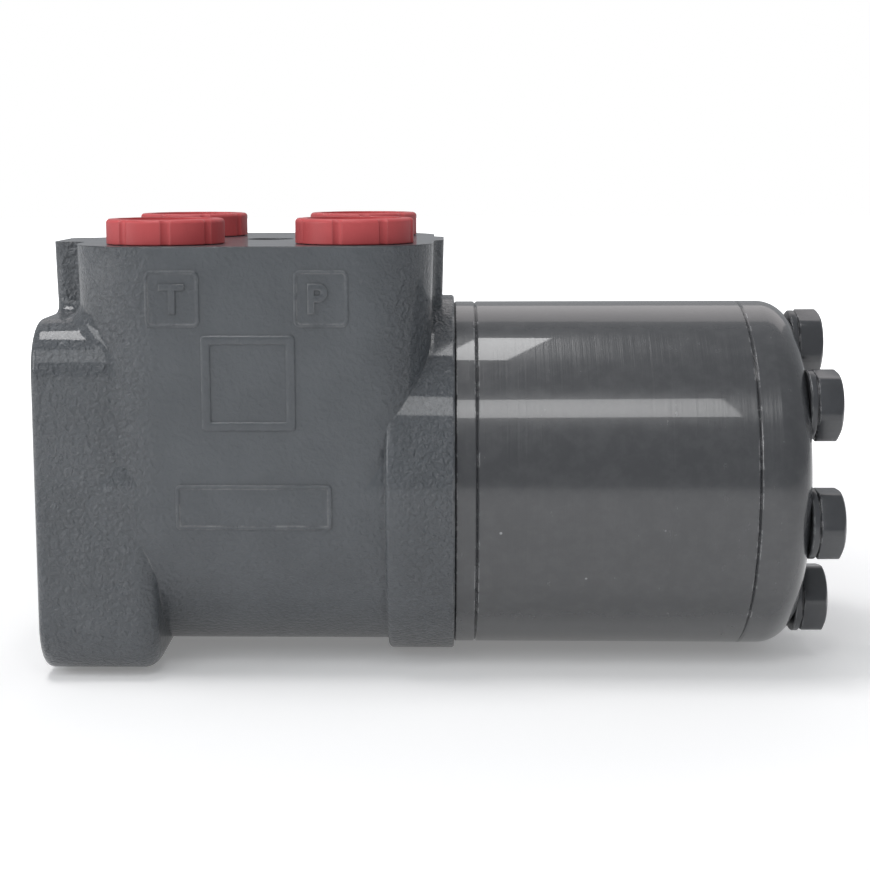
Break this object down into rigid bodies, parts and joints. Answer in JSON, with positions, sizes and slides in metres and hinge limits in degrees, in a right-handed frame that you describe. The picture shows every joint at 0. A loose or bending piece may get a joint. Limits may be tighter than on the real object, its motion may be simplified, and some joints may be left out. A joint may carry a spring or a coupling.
{
  "type": "orbital steering unit",
  "caption": "Rotary steering valve with an orbiting gear set, a cast port block with capped ports, a square mounting flange and a bolted end cover.",
  "frame": {"origin": "centre of the bolt circle on the column mounting face, on the spool axis", "axes": "+X along the spool axis from the mounting face to the end cover, +Z out of the port face, +Y towards the L and R ports"},
  "size_m": [0.194, 0.0914, 0.1119],
  "materials": {
    "painted_casting": "glossy dark paint over a rough cast skin",
    "painted_machined": "glossy dark paint over a machined surface",
    "painted_fastener": "dark paint, worn at the edges",
    "seal_rubber": "satin",
    "hardened_steel": "ground",
    "ground_steel": "ground",
    "spring_steel": "blued",
    "plated_steel": "zinc plated",
    "cap_plastic": "matt red"
  },
  "bodies": {
    "unit": {"housing": "painted_casting", "dust_seal": "seal_rubber", "shaft_seal": "seal_rubber", "bearing_race_outer": "hardened_steel", "distributor_plate": "painted_machined", "stator_ring": "painted_machined", "end_cover": "painted_machined", "o_ring_front": "seal_rubber", "o_ring_middle": "seal_rubber", "o_ring_rear": "seal_rubber", "cover_bolts": "painted_fastener", "bolt_washers": "painted_fastener", "check_bush": "plated_steel", "ball_stop_pin": "plated_steel"},
    "sleeve_set": {"control_sleeve": "ground_steel", "cross_pin": "hardened_steel", "spring_retaining_ring": "spring_steel", "bearing_race_inner": "hardened_steel", "centering_springs": "spring_steel"},
    "spool": {"control_spool": "ground_steel"},
    "needle_set": {"needle_cage": "hardened_steel"},
    "orbit_carrier": {"rotor_spacer": "ground_steel"},
    "rotor_body": {"rotor": "ground_steel"},
    "cardan": {"cardan_shaft": "ground_steel"},
    "ball": {"check_ball": "hardened_steel"},
    "cap_t": {"port_cap_t": "cap_plastic"},
    "cap_p": {"port_cap_p": "cap_plastic"},
    "cap_l": {"port_cap_l": "cap_plastic"},
    "cap_r": {"port_cap_r": "cap_plastic"}
  },
  "joints": [
    {"name": "steering_turn", "type": "hinge", "parent": "unit", "child": "sleeve_set", "pos_m": [0.017, 0, 0], "axis": [1, 0, 0], "continuous": true},
    {"name": "spool_deflection", "type": "hinge", "parent": "sleeve_set", "child": "spool", "pos_m": [0.026, 0, 0], "axis": [1, 0, 0], "range_deg": [-8, 8], "stiffness_Nm_per_rad": 5, "deforming": ["centering_springs"]},
    {"name": "needle_travel", "type": "hinge", "parent": "unit", "child": "needle_set", "pos_m": [0.0148, 0, 0], "axis": [1, 0, 0], "continuous": true},
    {"name": "rotor_orbit", "type": "hinge", "parent": "unit", "child": "orbit_carrier", "pos_m": [0.14, 0, 0], "axis": [1, 0, 0], "continuous": true},
    {"name": "rotor_spin", "type": "hinge", "parent": "orbit_carrier", "child": "rotor_body", "pos_m": [0.14, 0, 0.0034], "axis": [1, 0, 0], "continuous": true},
    {"name": "cardan_spin", "type": "hinge", "parent": "orbit_carrier", "child": "cardan", "pos_m": [0.036, 0, 0], "axis": [0.9993, 0, 0.0372], "continuous": true},
    {"name": "check_lift", "type": "slide", "parent": "unit", "child": "ball", "axis": [0, 0, 1], "range_m": [0, 0.002]},
    {"name": "cap_t_pull", "type": "slide", "parent": "unit", "child": "cap_t", "axis": [0, 0, 1], "range_m": [0, 0.02]},
    {"name": "cap_p_pull", "type": "slide", "parent": "unit", "child": "cap_p", "axis": [0, 0, 1], "range_m": [0, 0.02]},
    {"name": "cap_l_pull", "type": "slide", "parent": "unit", "child": "cap_l", "axis": [0, 0, 1], "range_m": [0, 0.02]},
    {"name": "cap_r_pull", "type": "slide", "parent": "unit", "child": "cap_r", "axis": [0, 0, 1], "range_m": [0, 0.02]}
  ],
  "couplings": [
    {"joint": "needle_travel", "follows": "steering_turn", "ratio": 0.5},
    {"joint": "rotor_orbit", "follows": "steering_turn", "ratio": -6},
    {"joint": "rotor_spin", "follows": "steering_turn", "ratio": 7},
    {"joint": "cardan_spin", "follows": "steering_turn", "ratio": 7}
  ]
}
